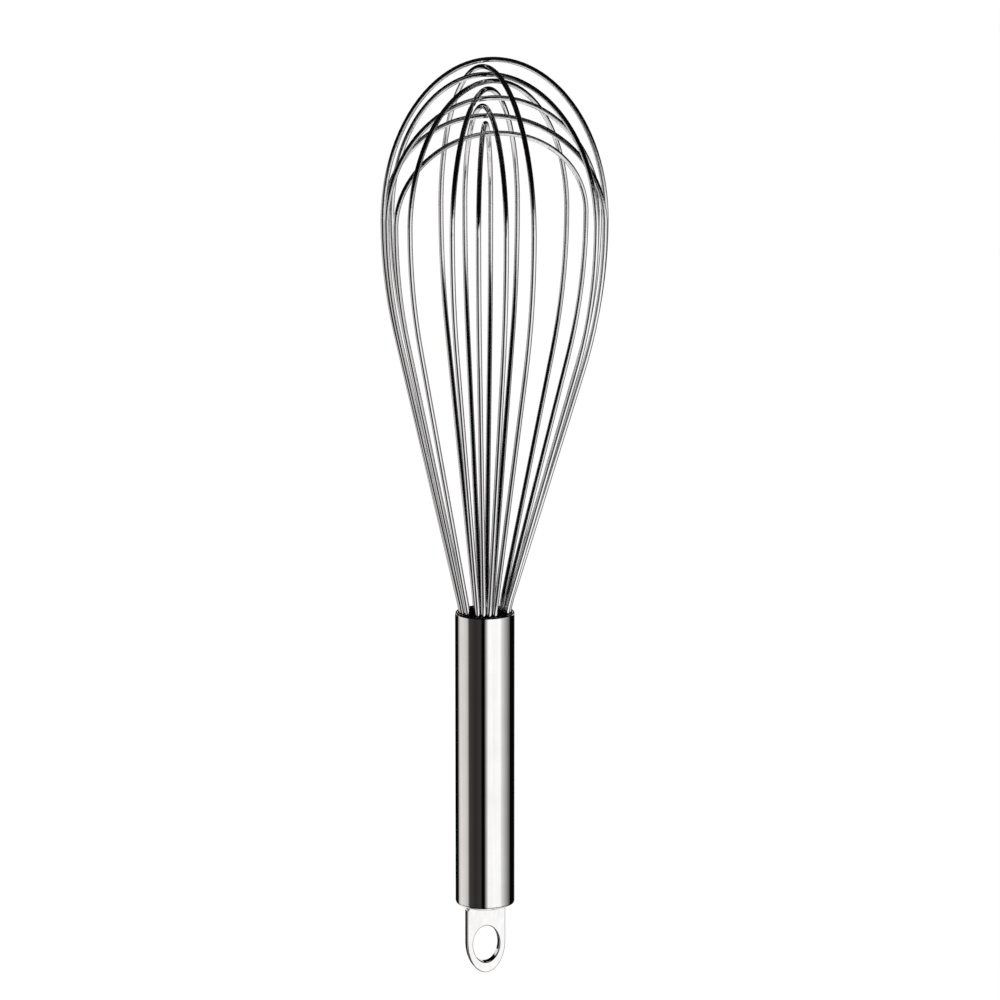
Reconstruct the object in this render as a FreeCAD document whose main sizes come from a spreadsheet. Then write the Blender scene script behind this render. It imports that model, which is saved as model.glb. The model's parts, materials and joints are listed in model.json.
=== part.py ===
import FreeCAD, Part

# Balloon whisk: ten nested wire loops held in the mouth of a round tubular handle, with a
# hanging loop fixed to the cap at the handle's lower end.
#
# Frame: +Z runs up the handle towards the wires.  The origin is on the handle's axis, at the
# lower end of the tube, where the cap seats.  Each wire loop lies in a plane through that axis.
# All lengths are in millimetres and all angles in degrees.

import math
import os
import re

import Sketcher
from FreeCAD import Placement, Rotation, Vector

# Driving dimensions: name, value, what it is.
DRIVING = (
    ("handle_diameter", 20.0, "outside of the handle tube"),
    ("tube_length", 100.0, "lower end to the top of the mouth rim"),
    ("tube_wall", 1.0, "wall of the handle tube"),
    ("push_gap", 0.05, "radial gap round a piece pushed into the tube"),
    ("touch_gap", 0.02, "gap left between faces that bear on each other"),
    ("wire_diameter", 1.7, "spring wire of every loop"),
    ("leg_circle_radius", 7.75, "circle on which the wire legs stand in the mouth"),
    ("tail_depth", 30.0, "mouth rim down to the cut ends of the legs"),
    ("flare_depth", 3.5, "mouth rim down to where the legs start to spread"),
    ("flare_radius", 28.0, "bend of a leg as it leaves the mouth"),
    ("shoulder_radius", 170.0, "bend of a leg as it turns into the belly"),
    ("belly_height", 131.5, "mouth rim to the widest level of the cage"),
    ("cage_height", 184.4, "mouth rim to the centre of the tallest loop's wire"),
    ("cage_radius", 36.6, "mean reach of the belly from the handle's axis"),
    ("cage_bulge", 3.3, "how much further the belly reaches towards +X, and less towards -X"),
    ("crown_shift", 2.5, "shift of the crowns towards +X"),
    ("crown_step", 2.3, "drop of a crown below the one above it"),
    ("crown_step_growth", 0.045, "growth of that drop with each loop"),
    ("leg_slots", 26.0, "even slots round the core, for the wire legs to stand in"),
    ("first_turn", 4.0, "turn of slot 0 about the handle's axis"),
    ("sealant_depth", 4.0, "mouth rim down to the top of the sealing compound"),
    ("sealant_thickness", 6.0, "layer of sealing compound"),
    ("core_length", 16.0, "core that the legs are clamped round"),
    ("core_chamfer", 0.8, "lead-in on both ends of the core"),
    ("ring_length", 12.0, "ring pressed round the legs"),
    ("cap_rim_radius", 9.8, "edge of the cap"),
    ("cap_rim_height", 0.2, "straight edge of the cap"),
    ("cap_groove_radius", 9.45, "bottom of the groove between the cap's edge and the tube"),
    ("cap_groove_height", 0.3, "groove between the cap's edge and the tube"),
    ("cap_dome_height", 1.7, "drop of the domed edge below the cap's rim"),
    ("cap_flat_radius", 5.4, "flat middle of the cap's outer face"),
    ("cap_edge_radius", 8.0, "curve of the domed edge"),
    ("cap_spigot_height", 2.5, "part of the cap pushed into the tube"),
    ("eye_turn", 16.0, "turn of the hanging loop about the handle's axis"),
    ("eye_width", 13.4, "hanging loop, side to side"),
    ("eye_length", 23.2, "hanging loop, cap face to its lower end"),
    ("eye_thickness", 3.0, "hanging loop plate"),
    ("eye_shoulder_radius", 1.5, "rounded corner next to the cap"),
    ("eye_round_height", 10.9, "height of the half-oval lower end"),
    ("eye_hole_width", 9.2, "oval hole, side to side"),
    ("eye_hole_height", 12.8, "oval hole, top to bottom"),
    ("eye_hole_depth", 13.1, "cap face to the centre of the oval hole"),
    ("eye_edge_radius", 0.4, "rounding of the plate's edges"),
    ("tongue_width", 8.0, "tongue of the hanging loop that goes through the cap"),
    ("tongue_overhang", 0.9, "tongue standing out inside the cap"),
    ("braze_length", 11.0, "bead of filler metal round the tongue, along the plate"),
    ("braze_width", 5.7, "bead of filler metal round the tongue, across the plate"),
)

# Wire loops from the tallest to the shortest: the slot that one leg of each stands in.  Its other
# leg stands in the opposite slot, and six slots stay empty.
LOOP_SLOTS = (0, 8, 11, 3, 5, 1, 7, 12, 6, 2)
# Each loop's own sizes, from its slot and its rank below the tallest: turn of its plane about the
# handle's axis, drop of its crown below the tallest one, reach of the belly to the right and to
# the left of the axis in its own plane, and shift of the crown's top to the right.
LOOP_RULES = (
    ("turn", "=first_turn + {slot} * 360 / leg_slots"),
    ("drop", "={rank} * (crown_step + {rank} * crown_step_growth)"),
    ("right", "=cage_radius + cage_bulge * cos({turn})"),
    ("left", "=cage_radius - cage_bulge * cos({turn})"),
    ("shift", "=crown_shift * cos({turn})"),
)

# Sizes and levels worked out from the driving dimensions.
DERIVED = (
    ("tube_radius", "=handle_diameter / 2"),
    ("bore_radius", "=tube_radius - tube_wall"),
    ("insert_radius", "=bore_radius - push_gap"),
    ("wire_radius", "=wire_diameter / 2"),
    ("tail_level", "=tube_length - tail_depth"),
    ("flare_level", "=tube_length - flare_depth"),
    ("belly_level", "=tube_length + belly_height"),
    ("crown_level", "=tube_length + cage_height"),
    ("sealant_level", "=tube_length - sealant_depth - sealant_thickness"),
    ("core_radius", "=leg_circle_radius - wire_radius - push_gap"),
    ("core_level", "=sealant_level - touch_gap - core_length"),
    ("ring_inner_radius", "=leg_circle_radius + wire_radius + touch_gap"),
    ("ring_level", "=core_level + (core_length - ring_length) / 2"),
    ("cap_face_level", "=-cap_groove_height - cap_rim_height - cap_dome_height"),
    ("eye_top_level", "=cap_face_level - touch_gap"),
    ("eye_round_level", "=cap_face_level - eye_length + eye_round_height"),
    ("eye_hole_level", "=cap_face_level - eye_hole_depth"),
    ("braze_level", "=cap_spigot_height + touch_gap"),
)

SHEET = "Dims"
START, END, CENTRE = 1, 2, 3
ORIGIN = (-1, 1)

doc = FreeCAD.newDocument("BalloonWhisk")
sheet = doc.addObject("Spreadsheet::Sheet", SHEET)
aliases = set()


# ---------------------------------------------------------------- sheet and sketch helpers

def fill_sheet():
    """Write every driving and derived dimension to the sheet, one row each."""
    rows = [(name, str(value), note) for name, value, note in DRIVING]
    for index, slot in enumerate(LOOP_SLOTS, start=1):
        turn = loop_dimension(index, "turn")
        for column, rule in LOOP_RULES:
            formula = rule.format(slot=slot, rank=index - 1, turn=turn)
            rows.append((loop_dimension(index, column), formula, "wire loop %d" % index))
    rows += [(name, formula, "worked out") for name, formula in DERIVED]
    for row, (name, content, note) in enumerate(rows, start=1):
        sheet.set("A%d" % row, name)
        sheet.set("B%d" % row, content)
        sheet.set("C%d" % row, note)
        sheet.setAlias("B%d" % row, name)
        aliases.add(name)
    doc.recompute()


def loop_dimension(index, column):
    return "loop_%02d_%s" % (index, column)


def in_document(formula):
    """The formula with the sheet's name put before each of its aliases."""
    return re.sub(r"[a-z]\w*",
                  lambda word: "%s.%s" % (SHEET, word[0]) if word[0] in aliases else word[0],
                  formula)


def worked(formula):
    """The value of a formula of sheet names."""
    return float(sheet.evalExpression(formula))


def new_body(label, turn=None):
    """Empty body, turned about the handle's axis by a sheet dimension if one is named."""
    body = doc.addObject("PartDesign::Body", label)
    body.Label = label
    if turn:
        body.Placement = Placement(Vector(), Rotation(Vector(0, 0, 1), worked(turn)))
        body.setExpression("Placement.Rotation.Angle", in_document(turn))
    return body


def new_sketch(body, role, name, level=None):
    """Sketch on one of the body's origin planes, set off along the plane's normal if asked."""
    plane = next(item for item in body.Origin.OriginFeatures if item.Role == role)
    sketch = body.newObject("Sketcher::SketchObject", name)
    sketch.AttachmentSupport = [(plane, "")]
    sketch.MapMode = "FlatFace"
    if level:
        sketch.setExpression("AttachmentOffset.Base.z", in_document(level))
    return sketch


def dimension(sketch, formula, kind, *references):
    """Add a dimension to a sketch and bind it to a formula of sheet names."""
    index = sketch.addConstraint(Sketcher.Constraint(kind, *references, worked(formula)))
    sketch.setExpression("Constraints[%d]" % index, in_document(formula))


def rule(sketch, kind, *references):
    """Add a geometric rule, such as Vertical or Coincident, to a sketch."""
    sketch.addConstraint(Sketcher.Constraint(kind, *references))


def flat(x, y):
    """Point in a sketch's own plane."""
    return Vector(x, y, 0)


def end_at(sketch, curve, point):
    """Which end of a curve lies at a point."""
    return min((START, END), key=lambda end: sketch.getPoint(curve, end).distanceToPoint(point))


def add_chain(sketch, curves, smooth, closed=False):
    """Add curves that follow one another, tied end to end; smooth makes each joint tangent."""
    indices = [sketch.addGeometry(curve, False) for curve in curves]
    pairs = list(zip(indices, indices[1:]))
    if closed:
        pairs.append((indices[-1], indices[0]))
    for first, second in pairs:
        ends = [(one, other) for one in (START, END) for other in (START, END)]
        one, other = min(ends, key=lambda pair: sketch.getPoint(first, pair[0]).distanceToPoint(
            sketch.getPoint(second, pair[1])))
        rule(sketch, "Tangent" if smooth else "Coincident", first, one, second, other)
    return indices


def add_circle(sketch, radius, x=None, y=None):
    """Circle at the sketch's origin, or at (x, y) if those formulas are given."""
    centre = flat(worked(x), worked(y)) if x else flat(0, 0)
    index = sketch.addGeometry(Part.Circle(centre, Vector(0, 0, 1), worked(radius)), False)
    if x:
        dimension(sketch, x, "DistanceX", index, CENTRE)
        dimension(sketch, y, "DistanceY", index, CENTRE)
    else:
        rule(sketch, "Coincident", index, CENTRE, *ORIGIN)
    dimension(sketch, radius, "Radius", index)
    return index


def add_rectangle(sketch, width, height):
    """Rectangle about the sketch's origin."""
    x, y = worked(width) / 2, worked(height) / 2
    corners = [flat(-x, -y), flat(x, -y), flat(x, y), flat(-x, y)]
    sides = [Part.LineSegment(a, b) for a, b in zip(corners, corners[1:] + corners[:1])]
    low, right, high, left = add_chain(sketch, sides, smooth=False, closed=True)
    rule(sketch, "Horizontal", low)
    rule(sketch, "Horizontal", high)
    rule(sketch, "Vertical", right)
    rule(sketch, "Vertical", left)
    rule(sketch, "Symmetric", low, START, right, END, *ORIGIN)
    dimension(sketch, width, "DistanceX", low, START, low, END)
    dimension(sketch, height, "DistanceY", right, START, right, END)


def pad(body, sketch, name, length, midplane=False):
    """Raise a sketch along its normal, or evenly to both sides of its plane."""
    feature = body.newObject("PartDesign::Pad", name)
    feature.Profile = sketch
    feature.Midplane = midplane
    feature.setExpression("Length", in_document(length))
    doc.recompute()
    return feature


def revolve(body, sketch, name):
    """Turn a profile once round the handle's axis."""
    feature = body.newObject("PartDesign::Revolution", name)
    feature.Profile = sketch
    feature.ReferenceAxis = (sketch, ["V_Axis"])
    feature.Angle = 360
    doc.recompute()
    return feature


def dress_edges(body, kind, name, dimension_name, formula, chosen):
    """Fillet or chamfer the edges of the body's last feature that pass the given test."""
    base = body.Tip
    names = ["Edge%d" % index for index, edge in enumerate(base.Shape.Edges, start=1)
             if chosen(edge)]
    feature = body.newObject(kind, name)
    feature.Base = (base, names)
    feature.setExpression(dimension_name, in_document(formula))
    doc.recompute()
    return feature


# ---------------------------------------------------------------- handle

def make_handle_tube():
    """Straight tube whose mouth edge is rolled to a full round."""
    body = new_body("handle_tube")
    sketch = new_sketch(body, "XZ_Plane", "handle_tube_section")
    inner, outer, top = worked("bore_radius"), worked("tube_radius"), worked("tube_length")
    middle = (inner + outer) / 2
    bend = (outer - inner) / 2
    outside = Part.LineSegment(flat(outer, 0), flat(outer, top - bend))
    rim = Part.Arc(flat(outer, top - bend), flat(middle, top), flat(inner, top - bend))
    inside = Part.LineSegment(flat(inner, top - bend), flat(inner, 0))
    outside, rim, inside = add_chain(sketch, (outside, rim, inside), smooth=True)
    base = sketch.addGeometry(Part.LineSegment(flat(inner, 0), flat(outer, 0)), False)
    rule(sketch, "Coincident", inside, END, base, START)
    rule(sketch, "Coincident", base, END, outside, START)
    rule(sketch, "Vertical", outside)
    rule(sketch, "Vertical", inside)
    rule(sketch, "PointOnObject", base, START, -1)
    rule(sketch, "PointOnObject", base, END, -1)
    dimension(sketch, "bore_radius", "DistanceX", base, START)
    dimension(sketch, "tube_radius", "DistanceX", base, END)
    dimension(sketch, "tube_length - tube_wall / 2", "DistanceY", rim, CENTRE)
    revolve(body, sketch, "handle_tube_turned")
    return body


def make_end_cap():
    """Domed disc with a grooved rim and a spigot pushed into the tube, slotted for the tongue."""
    body = new_body("end_cap", turn="eye_turn")
    sketch = new_sketch(body, "XZ_Plane", "end_cap_section")
    points = (
        ("0", "cap_face_level"),
        ("cap_flat_radius", "cap_face_level"),
        ("cap_rim_radius", "-cap_groove_height - cap_rim_height"),
        ("cap_rim_radius", "-cap_groove_height"),
        ("cap_groove_radius", "-cap_groove_height"),
        ("cap_groove_radius", "-touch_gap"),
        ("insert_radius", "-touch_gap"),
        ("insert_radius", "cap_spigot_height"),
        ("0", "cap_spigot_height"),
    )
    corners = [flat(worked(x), worked(y)) for x, y in points]
    edges = [Part.LineSegment(a, b) for a, b in zip(corners, corners[1:] + corners[:1])]
    lower, upper = corners[1], corners[2]
    chord = upper - lower
    sag = chord.Length / (8 * worked("cap_edge_radius"))
    edges[1] = Part.Arc(lower, (lower + upper) * 0.5 + flat(chord.y, -chord.x) * sag, upper)
    indices = add_chain(sketch, edges, smooth=False, closed=True)
    for index, (x, y), corner in zip(indices, points, corners):
        end = end_at(sketch, index, corner)
        dimension(sketch, x, "DistanceX", index, end)
        dimension(sketch, y, "DistanceY", index, end)
    dimension(sketch, "cap_edge_radius", "Radius", indices[1])
    revolve(body, sketch, "end_cap_turned")
    slot = new_sketch(body, "XY_Plane", "end_cap_slot", level="cap_face_level")
    add_rectangle(slot, "tongue_width + 2 * push_gap", "eye_thickness + 2 * push_gap")
    cut = body.newObject("PartDesign::Pocket", "end_cap_slot_cut")
    cut.Profile = slot
    cut.Type = "ThroughAll"
    cut.Midplane = True
    doc.recompute()
    return body


# ---------------------------------------------------------------- hanging loop

def add_oval(sketch, width, height, level):
    """Whole upright ellipse centred on the axis at a level; height is more than width."""
    half_width, half_height, middle = worked(width) / 2, worked(height) / 2, worked(level)
    oval = Part.Ellipse(flat(0, middle + half_height), flat(-half_width, middle), flat(0, middle))
    index = sketch.addGeometry(oval, False)
    sketch.exposeInternalGeometry(index)
    long_axis, short_axis = index + 1, index + 2
    rule(sketch, "Vertical", long_axis)
    rule(sketch, "PointOnObject", index, CENTRE, -2)
    dimension(sketch, level, "DistanceY", index, CENTRE)
    dimension(sketch, height, "Distance", long_axis)
    dimension(sketch, width, "Distance", short_axis)


def make_hanging_loop():
    """Flat eye with rounded shoulders, an oval hole and a tongue that goes through the cap."""
    body = new_body("hanging_loop", turn="eye_turn")
    sketch = new_sketch(body, "XZ_Plane", "hanging_loop_outline")
    half, corner = worked("eye_width") / 2, worked("eye_shoulder_radius")
    top, round_level = worked("eye_top_level"), worked("eye_round_level")
    tip = round_level - worked("eye_round_height")
    low = Part.ArcOfEllipse(
        Part.Ellipse(flat(0, tip), flat(half, round_level), flat(0, round_level)),
        -math.pi / 2, math.pi / 2)

    def shoulder(side):
        bend = corner * math.sqrt(0.5)
        middle = flat(side * (half - corner + bend), top - corner + bend)
        return Part.Arc(flat(side * half, top - corner), middle, flat(side * (half - corner), top))

    left = Part.LineSegment(flat(-half, round_level), flat(-half, top - corner))
    right = Part.LineSegment(flat(half, top - corner), flat(half, round_level))
    edge = Part.LineSegment(flat(corner - half, top), flat(half - corner, top))
    left, first, edge, second, right, low = add_chain(
        sketch, (left, shoulder(-1), edge, shoulder(1), right, low), smooth=True, closed=True)
    rule(sketch, "Vertical", left)
    rule(sketch, "Vertical", right)
    rule(sketch, "Horizontal", edge)
    rule(sketch, "Equal", first, second)
    dimension(sketch, "eye_shoulder_radius", "Radius", first)
    dimension(sketch, "eye_top_level", "DistanceY", edge, START)
    for side, end, sign in ((left, START, "-"), (right, END, "")):
        dimension(sketch, sign + "eye_width / 2", "DistanceX", side, end)
        dimension(sketch, "eye_round_level", "DistanceY", side, end)
    sketch.exposeInternalGeometry(low)
    dimension(sketch, "2 * eye_round_height", "Distance", low + 1)
    add_oval(sketch, "eye_hole_width", "eye_hole_height", "eye_hole_level")
    pad(body, sketch, "hanging_loop_plate", "eye_thickness", midplane=True)
    face = worked("eye_thickness") / 2

    def on_a_face(edge):
        return all(abs(abs(vertex.Y) - face) < 1e-6 for vertex in edge.Vertexes)

    dress_edges(body, "PartDesign::Fillet", "hanging_loop_soft_edges", "Radius",
                "eye_edge_radius", on_a_face)
    tongue = new_sketch(body, "XY_Plane", "hanging_loop_tongue_section",
                        level="eye_top_level - eye_shoulder_radius")
    add_rectangle(tongue, "tongue_width", "eye_thickness")
    pad(body, tongue, "hanging_loop_tongue",
        "cap_spigot_height + tongue_overhang - eye_top_level + eye_shoulder_radius")
    return body


def make_loop_braze():
    """Bead of filler metal round the tongue, on the inner face of the cap."""
    body = new_body("loop_braze", turn="eye_turn")
    sketch = new_sketch(body, "XY_Plane", "loop_braze_section", level="braze_level")
    add_rectangle(sketch, "braze_length", "braze_width")
    add_rectangle(sketch, "tongue_width + 2 * touch_gap", "eye_thickness + 2 * touch_gap")
    pad(body, sketch, "loop_braze_bead", "tongue_overhang")
    top = worked("braze_level + tongue_overhang")
    reach = worked("braze_width") / 2

    def outer_top(edge):
        box = edge.BoundBox
        outside = max(abs(box.YMin), abs(box.YMax)) > reach - 1e-6
        return outside and box.ZMin > top - 1e-6

    dress_edges(body, "PartDesign::Chamfer", "loop_braze_slope", "Size",
                "tongue_overhang * 0.7", outer_top)
    return body


# ---------------------------------------------------------------- inside the mouth

def make_wire_core():
    """Round core that the twenty legs stand round, with a lead-in on both ends."""
    body = new_body("wire_core")
    sketch = new_sketch(body, "XY_Plane", "wire_core_section", level="core_level")
    add_circle(sketch, "core_radius")
    pad(body, sketch, "wire_core_rod", "core_length")
    dress_edges(body, "PartDesign::Chamfer", "wire_core_lead_in", "Size", "core_chamfer",
                lambda edge: edge.Closed)
    return body


def make_clamp_ring():
    """Thin ring pressed round the legs, between them and the tube."""
    body = new_body("wire_clamp_ring")
    sketch = new_sketch(body, "XY_Plane", "wire_clamp_ring_section", level="ring_level")
    add_circle(sketch, "insert_radius")
    add_circle(sketch, "ring_inner_radius")
    pad(body, sketch, "wire_clamp_ring_band", "ring_length")
    return body


def make_sealant():
    """Disc of set compound that fills the mouth and has one hole for every leg."""
    body = new_body("mouth_sealant")
    sketch = new_sketch(body, "XY_Plane", "mouth_sealant_section", level="sealant_level")
    add_circle(sketch, "bore_radius - touch_gap")
    for index in range(1, len(LOOP_SLOTS) + 1):
        turn = loop_dimension(index, "turn")
        for reach in ("leg_circle_radius", "-leg_circle_radius"):
            add_circle(sketch, "wire_radius + touch_gap",
                       "%s * cos(%s)" % (reach, turn), "%s * sin(%s)" % (reach, turn))
    pad(body, sketch, "mouth_sealant_fill", "sealant_thickness")
    return body


# ---------------------------------------------------------------- wire loops

def side_slope(half_width):
    """Angle from upright of the straight side that joins the flare bend to the shoulder bend."""
    rise = worked("belly_level - flare_level")
    spread = half_width - worked("leg_circle_radius")
    bends = worked("flare_radius + shoulder_radius")
    return math.asin(bends / math.hypot(rise, bends - spread)) - math.atan2(bends - spread, rise)


def leg_curves(side, half_width):
    """One leg from its cut end up to the belly: tail, flare bend, straight side, shoulder."""
    foot, flare_radius = worked("leg_circle_radius"), worked("flare_radius")
    flare_level, belly_level = worked("flare_level"), worked("belly_level")
    shoulder_radius = worked("shoulder_radius")
    slope = side_slope(half_width)
    flare_centre = flat(side * (foot + flare_radius), flare_level)
    shoulder_centre = flat(side * (half_width - shoulder_radius), belly_level)

    def outward(angle):
        return flat(side * math.cos(angle), -math.sin(angle))

    leaving = flare_centre - outward(slope) * flare_radius
    arriving = shoulder_centre + outward(slope) * shoulder_radius
    mouth = flat(side * foot, flare_level)
    belly = flat(side * half_width, belly_level)
    return (
        Part.LineSegment(flat(side * foot, worked("tail_level")), mouth),
        Part.Arc(mouth, flare_centre - outward(slope / 2) * flare_radius, leaving),
        Part.LineSegment(leaving, arriving),
        Part.Arc(arriving, shoulder_centre + outward(slope / 2) * shoulder_radius, belly),
    )


def crown_quarter(side, shift, reach, level, rise):
    """Quarter of an upright ellipse, from the belly on one side up to the crown's top."""
    centre, top = flat(shift, level), flat(shift, level + rise)
    if rise > reach:
        oval, first = Part.Ellipse(top, flat(shift - reach, level), centre), -math.pi / 2
    else:
        oval, first = Part.Ellipse(flat(shift + reach, level), top, centre), 0
    start = first if side > 0 else first + math.pi / 2
    return Part.ArcOfEllipse(oval, start, start + math.pi / 2)


def draw_half_loop(path, side, index):
    """Half of a loop's centre line, from the leg's cut end up to the top of the crown."""
    _, drop, right, left, shift = (loop_dimension(index, column) for column, _ in LOOP_RULES)
    sign, reach = ("", right) if side > 0 else ("-", left)
    level, rise = worked("belly_level"), worked("crown_level - %s - belly_level" % drop)
    across = worked(reach) - side * worked(shift)
    quarter = crown_quarter(side, worked(shift), across, level, rise)
    tail, flare, slope, shoulder, crown = add_chain(
        path, leg_curves(side, worked(reach)) + (quarter,), smooth=True)
    # Arcs run anticlockwise, so the right shoulder ends at the belly and the left one starts there.
    belly_end = END if side > 0 else START
    rule(path, "Vertical", tail)
    dimension(path, sign + "leg_circle_radius", "DistanceX", tail, START)
    dimension(path, "tail_level", "DistanceY", tail, START)
    dimension(path, "flare_level", "DistanceY", tail, END)
    dimension(path, "flare_radius", "Radius", flare)
    dimension(path, "shoulder_radius", "Radius", shoulder)
    dimension(path, "belly_level", "DistanceY", shoulder, CENTRE)
    dimension(path, "belly_level", "DistanceY", shoulder, belly_end)
    dimension(path, sign + reach, "DistanceX", shoulder, belly_end)
    return crown


def make_wire_loop(index):
    """Round wire bent to a balloon loop, standing in its own plane through the axis."""
    name = "wire_loop_%02d" % index
    body = new_body(name, turn=loop_dimension(index, "turn"))
    path = new_sketch(body, "XZ_Plane", name + "_path")
    right = draw_half_loop(path, 1, index)
    left = draw_half_loop(path, -1, index)
    shift, drop = loop_dimension(index, "shift"), loop_dimension(index, "drop")
    rule(path, "Coincident", right, CENTRE, left, CENTRE)
    rule(path, "Coincident", right, END, left, START)
    dimension(path, shift, "DistanceX", right, CENTRE)
    dimension(path, "belly_level", "DistanceY", right, CENTRE)
    dimension(path, shift, "DistanceX", right, END)
    dimension(path, "crown_level - %s" % drop, "DistanceY", right, END)
    section = new_sketch(body, "XY_Plane", name + "_section", level="tail_level")
    add_circle(section, "wire_radius", "leg_circle_radius", "0")
    wire = body.newObject("PartDesign::AdditivePipe", name + "_wire")
    wire.Profile = section
    wire.Spine = path
    doc.recompute()
    return body


# ---------------------------------------------------------------- build and write

def check(body):
    """Stop on a broken feature, a broken shape, or more than one solid."""
    for item in body.Group + [body]:
        if {"Invalid", "Error"} & set(item.State):
            raise RuntimeError("%s is not valid: %s" % (item.Label, item.State))
    shape = body.Shape
    if shape.isNull() or not shape.isValid() or len(shape.Solids) != 1:
        raise RuntimeError("%s has no single valid solid" % body.Label)


def main():
    fill_sheet()
    bodies = [make_handle_tube(), make_end_cap(), make_hanging_loop(), make_loop_braze(),
              make_wire_core(), make_clamp_ring(), make_sealant()]
    bodies += [make_wire_loop(index) for index in range(1, len(LOOP_SLOTS) + 1)]
    doc.recompute()
    os.makedirs("parts", exist_ok=True)
    for body in bodies:
        check(body)
        body.Shape.exportStep("parts/%s.step" % body.Label)
        print("%-18s %10.3f mm3" % (body.Label, body.Shape.Volume))


main()
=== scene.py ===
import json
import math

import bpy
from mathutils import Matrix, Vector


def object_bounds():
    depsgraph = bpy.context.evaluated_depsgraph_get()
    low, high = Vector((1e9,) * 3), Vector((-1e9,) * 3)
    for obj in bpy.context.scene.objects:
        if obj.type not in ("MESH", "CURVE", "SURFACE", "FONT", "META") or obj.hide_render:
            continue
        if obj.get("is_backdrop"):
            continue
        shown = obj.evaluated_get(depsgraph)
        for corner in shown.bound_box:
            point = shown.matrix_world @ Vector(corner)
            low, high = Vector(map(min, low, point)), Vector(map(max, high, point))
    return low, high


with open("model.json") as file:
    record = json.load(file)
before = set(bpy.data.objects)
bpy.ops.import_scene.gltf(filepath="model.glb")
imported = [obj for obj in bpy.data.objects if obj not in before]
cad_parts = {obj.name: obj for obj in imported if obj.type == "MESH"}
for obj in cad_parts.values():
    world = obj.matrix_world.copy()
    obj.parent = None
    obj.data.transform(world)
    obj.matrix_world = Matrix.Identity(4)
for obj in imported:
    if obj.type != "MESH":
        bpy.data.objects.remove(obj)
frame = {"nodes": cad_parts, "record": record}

# Looks for the balloon whisk: polished stainless wires, tube, cap and hanging loop over the packed
# solids, in metres, with +Z up the handle towards the wires.  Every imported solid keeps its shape
# and only gets a material.
#
# Polished steel shows its surroundings, so most of the look is in the studio: pale and dark panels
# by turn and height, which light the whisk but are hidden from the camera, and a black card over
# the crown, seen only in reflections.

CAD_LOW, CAD_HIGH = (Vector(corner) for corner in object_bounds())
NODES = frame["nodes"]
EYE_AXIS = next(mount["axis"] for mount in frame["record"]["mounts"]
                if mount["name"] == "hanging_eye")

# Tints of the steel, and the painted shade on the hanging loop's lower edges, which stands in for
# the dark reflection of the gap under the loop.
TUBE_BRIGHT, TUBE_DULL = (0.86, 0.85, 0.84, 1), (0.78, 0.77, 0.76, 1)
WIRE_BRIGHT, WIRE_DULL = (0.86, 0.86, 0.87, 1), (0.76, 0.76, 0.77, 1)
# Near-black colour of the painted shade on the loop's downward-facing edges.
LOWER_EDGE_SHADE = (0.03, 0.03, 0.03, 1)
WHITE = (1, 1, 1, 1)
WEAR_SHADE = 0.8        # tint of a worn edge, as a share of the dull tint
HAIRLINE_ROUGHNESS, WEAR_ROUGHNESS = 0.03, 0.04


# ---------------------------------------------------------------- node helpers

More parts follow.
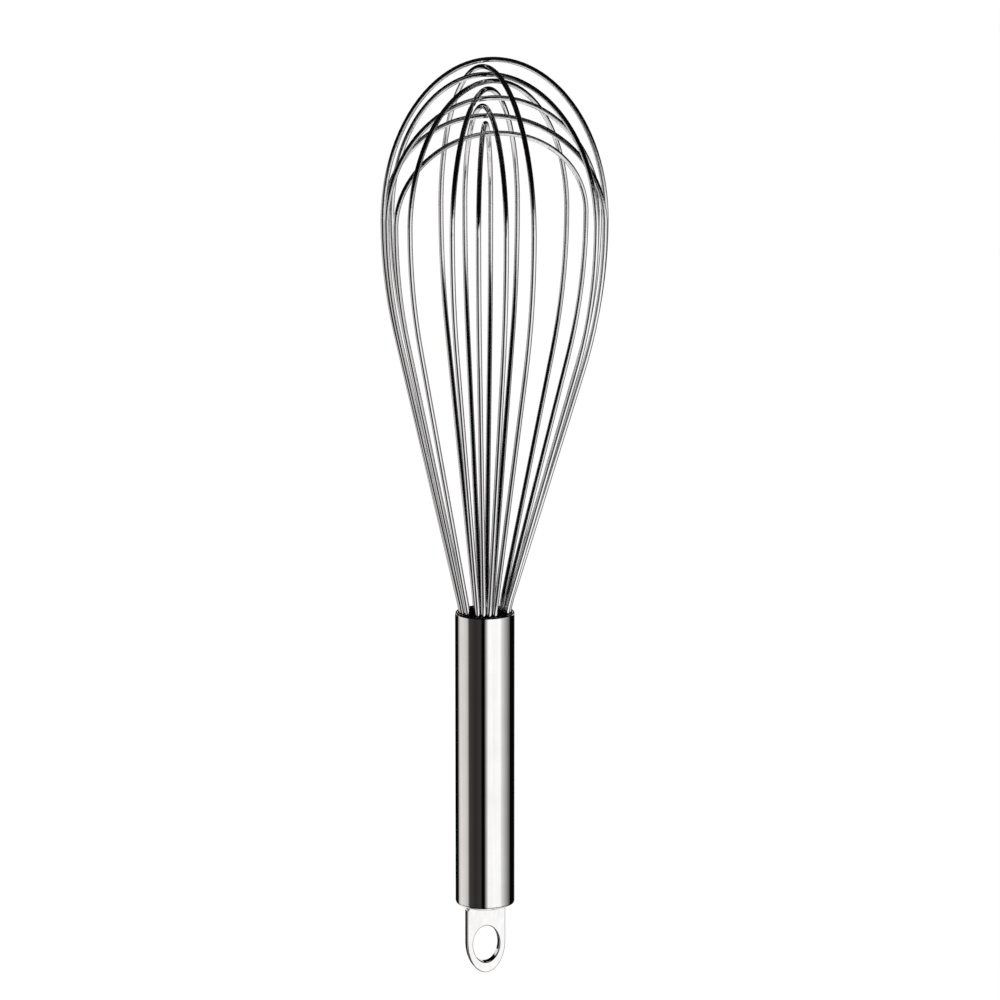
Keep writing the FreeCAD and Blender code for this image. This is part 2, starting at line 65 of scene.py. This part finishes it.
class Graph:
    """A small wrapper that adds and links nodes in one node tree."""

    def __init__(self, tree):
        self.tree = tree
        tree.nodes.clear()

    def add(self, kind, **settings):
        """Add a node, with its properties set by name."""
        node = self.tree.nodes.new(kind)
        for name, value in settings.items():
            setattr(node, name, value)
        return node

    def feed(self, socket, value):
        """Link a socket into an input, or set the input to a plain value."""
        if isinstance(value, bpy.types.NodeSocket):
            self.tree.links.new(value, socket)
        else:
            socket.default_value = value

    def place(self):
        """Position in the object's own space, in metres."""
        return self.add("ShaderNodeTexCoord").outputs["Object"]

    def height_of(self, vector):
        """The Z part of a vector."""
        parts = self.add("ShaderNodeSeparateXYZ")
        self.feed(parts.inputs[0], vector)
        return parts.outputs[2]

    def math(self, operation, *values):
        node = self.add("ShaderNodeMath", operation=operation)
        for socket, value in zip(node.inputs, values):
            self.feed(socket, value)
        return node.outputs[0]

    def dot(self, first, second):
        node = self.add("ShaderNodeVectorMath", operation="DOT_PRODUCT")
        self.feed(node.inputs[0], first)
        self.feed(node.inputs[1], second)
        return node.outputs["Value"]

    def scaled(self, vector, scale):
        node = self.add("ShaderNodeVectorMath", operation="MULTIPLY")
        self.feed(node.inputs[0], vector)
        node.inputs[1].default_value = scale
        return node.outputs[0]

    def noise(self, vector, scale, detail=2.0, roughness=0.5):
        node = self.add("ShaderNodeTexNoise")
        self.feed(node.inputs["Vector"], vector)
        node.inputs["Scale"].default_value = scale
        node.inputs["Detail"].default_value = detail
        node.inputs["Roughness"].default_value = roughness
        return node.outputs["Fac"]

    def tinted(self, factor, stops):
        """Colour ramp through (place, colour) stops."""
        node = self.add("ShaderNodeValToRGB")
        self.feed(node.inputs[0], factor)
        elements = node.color_ramp.elements
        while len(elements) < len(stops):
            elements.new(0.5)
        for element, (place, colour) in zip(elements, stops):
            element.position = place
            element.color = (*colour, 1)
        return node.outputs[0]

    def ramp(self, factor, stops):
        """Brightness ramp through (place, value) stops."""
        return self.tinted(factor, [(place, (value, value, value)) for place, value in stops])

    def span(self, value, low, high, to_low, to_high):
        """The value carried from low..high to to_low..to_high, and held beyond them."""
        node = self.add("ShaderNodeMapRange")
        for socket, item in zip(node.inputs, (value, low, high, to_low, to_high)):
            self.feed(socket, item)
        return node.outputs[0]

    def mix(self, factor, first, second):
        """Two colours mixed by a factor."""
        node = self.add("ShaderNodeMix", data_type="RGBA")
        self.feed(node.inputs[0], factor)
        self.feed(node.inputs[6], first)
        self.feed(node.inputs[7], second)
        return node.outputs[2]

    def bump(self, height, distance):
        """Relief whose full height is a distance in metres."""
        node = self.add("ShaderNodeBump")
        self.feed(node.inputs["Height"], height)
        node.inputs["Strength"].default_value = 1.0
        node.inputs["Distance"].default_value = distance
        return node.outputs[0]

    def background(self, colour, strength):
        node = self.add("ShaderNodeBackground")
        self.feed(node.inputs["Color"], colour)
        self.feed(node.inputs["Strength"], strength)
        return node.outputs[0]

    def blend(self, factor, first, second):
        """Two shaders mixed by a factor."""
        node = self.add("ShaderNodeMixShader")
        for socket, value in zip(node.inputs, (factor, first, second)):
            self.feed(socket, value)
        return node.outputs[0]

    def finish(self, shader, kind="ShaderNodeOutputMaterial"):
        """Send a shader to the output."""
        self.feed(self.add(kind).inputs["Surface"], shader)


def empty_material(name):
    """Material with an empty graph."""
    material = bpy.data.materials.new(name)
    material.use_nodes = True
    return material, Graph(material.node_tree)


def new_material(name):
    """Material with one principled shader, and that shader's inputs."""
    material, graph = empty_material(name)
    shader = graph.add("ShaderNodeBsdfPrincipled")
    graph.finish(shader.outputs[0])
    return material, graph, shader.inputs


def put_in_scene(name, data):
    """Object of its own for a mesh, lamp or camera."""
    thing = bpy.data.objects.new(name, data)
    bpy.context.collection.objects.link(thing)
    return thing


# ---------------------------------------------------------------- materials

def hairlines(graph, place, across, along):
    """Sparse thin lines along the drawing direction."""
    lines = graph.noise(graph.scaled(place, (across * 2, across * 2, along)), 1.0)
    return graph.ramp(lines, ((0.0, 0.0), (0.66, 0.0), (0.72, 1.0)))


def worn_edges(graph, normal, patch, radius):
    """How worn a point is: edges are found from how far a softened normal leans off the true one."""
    soft = graph.add("ShaderNodeBevel", samples=4)
    soft.inputs["Radius"].default_value = radius
    edge = graph.span(graph.dot(soft.outputs[0], normal), 0.995, 0.93, 0.0, 1.0)
    return graph.math("MULTIPLY", edge, graph.span(patch, 0.35, 0.6, 0.3, 1.0))


def lower_edges(graph, normal, plate_axis):
    """How far a point lies on the edges that face down, for a flat plate across plate_axis: the mask
    of the painted shade.
    """
    lean = graph.math("ABSOLUTE", graph.dot(normal, plate_axis))
    return graph.math("MULTIPLY", graph.span(lean, 0.93, 0.99, 1.0, 0.0),
                      graph.span(graph.height_of(normal), -0.05, -0.3, 0.0, 1.0))


def steel(name, bright, dull, roughness, streak_scale, grain_depth, smudge, wear_radius,
          plate_axis=None):
    """Polished stainless steel: drawn streaks, hairlines, faint smudges and duller worn edges.

    With a plate_axis, painted shade also darkens the downward-facing edges of the plate across that
    axis, standing in for the dark reflection under it.
    """
    material, graph, inputs = new_material(name)
    place = graph.place()
    across, along = streak_scale
    fine = graph.noise(graph.scaled(place, (across * 4, across * 4, along * 4)), 1.0, detail=3.0)
    broad = graph.noise(graph.scaled(place, (across, across, along)), 1.0)
    patch = graph.noise(place, 90.0, detail=4.0, roughness=0.6)
    tone = graph.math("ADD", graph.math("MULTIPLY", patch, 0.5), graph.math("MULTIPLY", broad, 0.5))
    colour = graph.mix(graph.span(tone, 0.38, 0.62, 0.0, 1.0), bright, dull)
    normal = graph.add("ShaderNodeNewGeometry").outputs["Normal"]
    worn = worn_edges(graph, normal, patch, wear_radius)
    edge_colour = (*(part * WEAR_SHADE for part in dull[:3]), 1)
    colour = graph.mix(graph.math("MULTIPLY", worn, 0.5), colour, edge_colour)
    # Painted shade: the plate's downward-facing edges are darkened almost to black, in place of the
    # dark reflection of the gap beneath the loop.
    if plate_axis:
        painted_shade = graph.math("MULTIPLY", lower_edges(graph, normal, plate_axis),
                           graph.span(patch, 0.3, 0.6, 0.8, 1.0))
        colour = graph.mix(painted_shade, colour, LOWER_EDGE_SHADE)
    lines = hairlines(graph, place, across, along)
    finish = graph.span(patch, 0.42, 0.72, roughness, roughness + smudge)
    finish = graph.math("ADD", finish, graph.math("MULTIPLY", lines, HAIRLINE_ROUGHNESS))
    finish = graph.math("ADD", finish, graph.math("MULTIPLY", worn, WEAR_ROUGHNESS))
    graph.feed(inputs["Base Color"], colour)
    graph.feed(inputs["Metallic"], 1.0)
    graph.feed(inputs["Roughness"], finish)
    graph.feed(inputs["Normal"], graph.bump(fine, grain_depth))
    return material


def inner_steel():
    """Plain turned steel with fine rings round the axis."""
    material, graph, inputs = new_material("turned_steel")
    rings = graph.noise(graph.scaled(graph.place(), (60.0, 60.0, 9000.0)), 1.0)
    graph.feed(inputs["Base Color"],
               graph.mix(rings, (0.42, 0.42, 0.43, 1), (0.55, 0.55, 0.56, 1)))
    graph.feed(inputs["Metallic"], 1.0)
    graph.feed(inputs["Roughness"], graph.span(rings, 0.3, 0.7, 0.28, 0.42))
    graph.feed(inputs["Normal"], graph.bump(rings, 0.00001))
    return material


def filler_metal():
    """Dull, slightly lumpy set filler metal."""
    material, graph, inputs = new_material("filler_metal_surface")
    lumps = graph.noise(graph.place(), 900.0, detail=3.0)
    graph.feed(inputs["Base Color"],
               graph.mix(lumps, (0.55, 0.52, 0.46, 1), (0.68, 0.65, 0.58, 1)))
    graph.feed(inputs["Metallic"], 1.0)
    graph.feed(inputs["Roughness"], graph.span(lumps, 0.3, 0.7, 0.35, 0.55))
    graph.feed(inputs["Normal"], graph.bump(lumps, 0.00012))
    return material


def sealant():
    """Dark set sealing compound, slightly glossy and pitted."""
    material, graph, inputs = new_material("sealing_compound")
    place = graph.place()
    pits = graph.noise(place, 1600.0, detail=4.0)
    cloud = graph.noise(place, 260.0)
    graph.feed(inputs["Base Color"],
               graph.mix(cloud, (0.012, 0.012, 0.013, 1), (0.035, 0.034, 0.033, 1)))
    graph.feed(inputs["Roughness"], graph.span(pits, 0.3, 0.7, 0.45, 0.7))
    graph.feed(inputs["Normal"], graph.bump(pits, 0.00008))
    return material


def dress(material, *names):
    """Put a material on every slot of the named nodes."""
    for name in names:
        for slot in NODES[name].material_slots:
            slot.material = material


def dress_whisk():
    """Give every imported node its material."""
    dress(steel("mirror_tube", TUBE_BRIGHT, TUBE_DULL, roughness=0.03, smudge=0.03,
                streak_scale=(1300.0, 14.0), grain_depth=0.0000003, wear_radius=0.0004),
          "handle_tube")
    dress(steel("mirror_cap", TUBE_BRIGHT, TUBE_DULL, roughness=0.02, smudge=0.03,
                streak_scale=(900.0, 300.0), grain_depth=0.0000003, wear_radius=0.0003),
          "end_cap")
    dress(steel("mirror_plate", TUBE_BRIGHT, TUBE_DULL, roughness=0.02, smudge=0.03,
                streak_scale=(900.0, 300.0), grain_depth=0.0000001, wear_radius=0.0003,
                plate_axis=EYE_AXIS),
          "hanging_loop")
    dress(steel("drawn_wire", WIRE_BRIGHT, WIRE_DULL, roughness=0.05, smudge=0.04,
                streak_scale=(420.0, 60.0), grain_depth=0.0000002, wear_radius=0.0002),
          *[name for name in NODES if name.startswith("wire_loop_")])
    dress(inner_steel(), "wire_core", "wire_clamp_ring")
    dress(filler_metal(), "loop_braze")
    dress(sealant(), "mouth_sealant")


# ---------------------------------------------------------------- floor

def make_floor(size, gap, glow_strength, glow_share):
    """Pale floor under the whisk, mostly lit by itself so that it takes only a faint shadow."""
    material, graph = empty_material("pale_floor")
    cloud = graph.noise(graph.place(), 1.5)
    diffuse = graph.add("ShaderNodeBsdfDiffuse")
    graph.feed(diffuse.inputs["Color"],
               graph.mix(cloud, (0.95, 0.95, 0.95, 1), (0.97, 0.97, 0.97, 1)))
    glow = graph.add("ShaderNodeEmission")
    graph.feed(glow.inputs["Color"], WHITE)
    graph.feed(glow.inputs["Strength"], glow_strength)
    graph.finish(graph.blend(glow_share, diffuse.outputs[0], glow.outputs[0]))
    mesh = bpy.data.meshes.new("floor")
    corners = [(x * size, y * size, 0.0) for x, y in ((-1, -1), (1, -1), (1, 1), (-1, 1))]
    mesh.from_pydata(corners, [], [(0, 1, 2, 3)])
    mesh.materials.append(material)
    floor = put_in_scene("floor", mesh)
    floor.location.z = CAD_LOW.z - gap
    floor.visible_glossy = False
    floor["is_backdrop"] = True


# ---------------------------------------------------------------- studio light

WARM, PLAIN = (1.0, 0.955, 0.93), (1.0, 1.0, 1.0)
# The studio round the whisk, by turn in degrees from the camera's side: turn, brightness, tint,
# and the heights in degrees between which that part of the studio is lit.
SURROUND = (
    (-180, 0.85, PLAIN, -60, 8), (-134, 0.85, PLAIN, -40, 8), (-130, 0.0, PLAIN, -40, 8),
    (-127, 0.0, WARM, -45, 8), (-120, 0.66, WARM, -50, 8), (-108, 0.86, WARM, -60, 8),
    (-84, 0.80, WARM, -60, 8), (-72, 0.62, WARM, -60, 8), (-64, 0.06, WARM, -60, 6),
    (-38, 0.03, WARM, -60, 4), (-17, 0.045, WARM, -50, 4), (-12, 0.0, PLAIN, -40, 4),
    (-2, 0.0, PLAIN, -36, 4), (5, 0.45, PLAIN, -36, 4), (13, 1.15, PLAIN, -36, 4),
    (60, 1.15, PLAIN, -50, 6), (70, 0.75, PLAIN, -60, 8), (84, 0.50, PLAIN, -60, 8),
    (98, 0.27, PLAIN, -50, 8), (109, 0.10, PLAIN, -45, 8), (113, 0.0, PLAIN, -40, 8),
    (132, 0.0, PLAIN, -40, 8), (137, 0.85, PLAIN, -40, 8), (180, 0.85, PLAIN, -60, 8),
)
FLOOR_GLOW = 1.1
DARKEST = 0.002
SLOT_RISE = -15.0       # middle of the dark slot behind the whisk, in degrees above level


def studio_directions(graph):
    """Turn from the camera's side and rise above level of a direction, both in degrees."""
    parts = graph.add("ShaderNodeSeparateXYZ")
    graph.feed(parts.inputs[0], graph.add("ShaderNodeTexCoord").outputs["Generated"])
    x, y, z = parts.outputs
    turn = graph.math("ARCTAN2", x, graph.math("MULTIPLY", y, -1.0))
    return (graph.math("MULTIPLY", turn, 180 / math.pi),
            graph.math("MULTIPLY", graph.math("ARCSINE", z), 180 / math.pi))


def studio_walls(graph, turn, rise):
    """Tint and brightness of the panels that stand round the whisk."""
    around = graph.span(turn, -180.0, 180.0, 0.0, 1.0)
    places = [(row[0] + 180) / 360 for row in SURROUND]

    def height(column):
        level = graph.ramp(around, [(place, (row[column] + 90) / 180)
                                    for place, row in zip(places, SURROUND)])
        return graph.span(level, 0.0, 1.0, -90.0, 90.0)

    glow = graph.ramp(around, [(place, row[1]) for place, row in zip(places, SURROUND)])
    tint = graph.tinted(around, [(place, row[2]) for place, row in zip(places, SURROUND)])
    above = graph.span(graph.math("SUBTRACT", rise, height(3)), -4.0, 4.0, 0.0, 1.0)
    below = graph.span(graph.math("SUBTRACT", height(4), rise), -3.0, 3.0, 0.0, 1.0)
    return tint, graph.math("MULTIPLY", graph.math("MULTIPLY", glow, above), below)


def dark_slot(graph, turn, rise):
    """Slot behind the whisk, where the camera sees the steel's grazing reflections."""
    aside = graph.math("ABSOLUTE", turn)
    behind = graph.math("MULTIPLY", graph.span(aside, 128.0, 132.0, 0.0, 1.0),
                        graph.span(turn, 156.0, 160.0, 1.0, 0.0))
    off = graph.math("ABSOLUTE", graph.math("SUBTRACT", rise, SLOT_RISE))
    return graph.math("MULTIPLY", behind, graph.span(off, 8.0, 10.0, 1.0, 0.0))


def studio_floor(graph, turn, rise):
    """Brightness of the pale floor, apart from two shaded strips behind the whisk."""
    aside = graph.math("ABSOLUTE", turn)
    shade = graph.math("MULTIPLY", graph.span(aside, 124.0, 130.0, 0.0, 1.0),
                       graph.span(aside, 158.0, 164.0, 1.0, 0.0))
    return graph.math("MULTIPLY", graph.span(rise, -42.0, -52.0, 0.0, FLOOR_GLOW),
                      graph.math("SUBTRACT", 1.0, shade))


def make_studio():
    """World that is plain white to the camera, and a panelled studio to everything else."""
    world = bpy.data.worlds.new("studio")
    bpy.context.scene.world = world
    world.use_nodes = True
    graph = Graph(world.node_tree)
    turn, rise = studio_directions(graph)
    tint, walls = studio_walls(graph, turn, rise)
    walls = graph.math("MULTIPLY", walls,
                       graph.math("SUBTRACT", 1.0, dark_slot(graph, turn, rise)))
    lit = graph.math("MAXIMUM", walls, studio_floor(graph, turn, rise))
    studio = graph.background(tint, graph.math("MAXIMUM", lit, DARKEST))
    seen_by_camera = graph.add("ShaderNodeLightPath").outputs["Is Camera Ray"]
    graph.finish(graph.blend(seen_by_camera, studio, graph.background(WHITE, 1.0)),
                 "ShaderNodeOutputWorld")


def direction(turn, rise):
    """Unit vector towards a turn from the camera's side and a rise above level, in degrees."""
    turn, rise = math.radians(turn), math.radians(rise)
    return Vector((math.sin(turn) * math.cos(rise), -math.cos(turn) * math.cos(rise),
                   math.sin(rise)))


def add_softbox(name, turn, rise, distance, size, power):
    """Soft area lamp aimed at the middle of the whisk."""
    lamp = bpy.data.lights.new(name, "AREA")
    lamp.shape = "RECTANGLE"
    lamp.size, lamp.size_y = size
    lamp.energy = power
    away = direction(turn, rise)
    holder = put_in_scene(name, lamp)
    holder.location = (CAD_LOW + CAD_HIGH) / 2 + away * distance
    holder.rotation_euler = away.to_track_quat("Z", "Y").to_euler()
    holder.visible_glossy = False


def black_card(low, fade):
    """Black card that fades out towards its lower edge."""
    material, graph, inputs = new_material("black_card")
    place = graph.place()
    cloud = graph.noise(place, 40.0)
    graph.feed(inputs["Base Color"],
               graph.mix(cloud, (0.004, 0.004, 0.004, 1), (0.008, 0.008, 0.008, 1)))
    graph.feed(inputs["Roughness"], 1.0)
    graph.feed(inputs["Specular IOR Level"], 0.0)
    graph.feed(inputs["Alpha"], graph.span(graph.height_of(place), low, low + fade, 0.0, 1.0))
    return material


def make_black_hood(depth, fade, radius, gap, sides=48):
    """Open-bottomed black card round the crown, seen only in the steel's reflections."""
    low, high = CAD_HIGH.z - depth, CAD_HIGH.z + gap
    turns = [2 * math.pi * index / sides for index in range(sides)]
    points = [(math.cos(turn) * radius, math.sin(turn) * radius, level)
              for level in (low, high) for turn in turns]
    walls = [(index, (index + 1) % sides, sides + (index + 1) % sides, sides + index)
             for index in range(sides)]
    lid = tuple(range(sides, 2 * sides))
    mesh = bpy.data.meshes.new("black_hood")
    mesh.from_pydata(points, [], walls + [lid])
    mesh.materials.append(black_card(low, fade))
    hood = put_in_scene("black_hood", mesh)
    for kind in ("camera", "diffuse", "transmission", "volume_scatter", "shadow"):
        setattr(hood, "visible_" + kind, False)
    hood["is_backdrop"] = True


# ---------------------------------------------------------------- camera

def make_camera(lens, rise, distance, target_x, target_share):
    """Long-lens camera in front, looking down at a share of the whisk's height."""
    data = bpy.data.cameras.new("camera")
    data.lens = lens
    data.sensor_width = 36.0
    data.clip_start = 0.01
    camera = put_in_scene("camera", data)
    target = Vector((target_x, 0.0, CAD_LOW.z + (CAD_HIGH.z - CAD_LOW.z) * target_share))
    camera.location = target + direction(0.0, rise) * distance
    camera.rotation_euler = (math.pi / 2 - math.radians(rise), 0, 0)
    bpy.context.scene.camera = camera


# ---------------------------------------------------------------- the scene

dress_whisk()
make_floor(size=40.0, gap=0.0002, glow_strength=1.14, glow_share=0.88)
make_studio()
make_black_hood(depth=0.055, fade=0.03, radius=0.07, gap=0.03)
add_softbox("top_softbox", turn=-35, rise=60, distance=1.6, size=(0.25, 0.25), power=2.0)
make_camera(lens=162.8, rise=12.0, distance=1.5, target_x=0.005, target_share=0.526)
bpy.context.scene.view_settings.view_transform = "Standard"
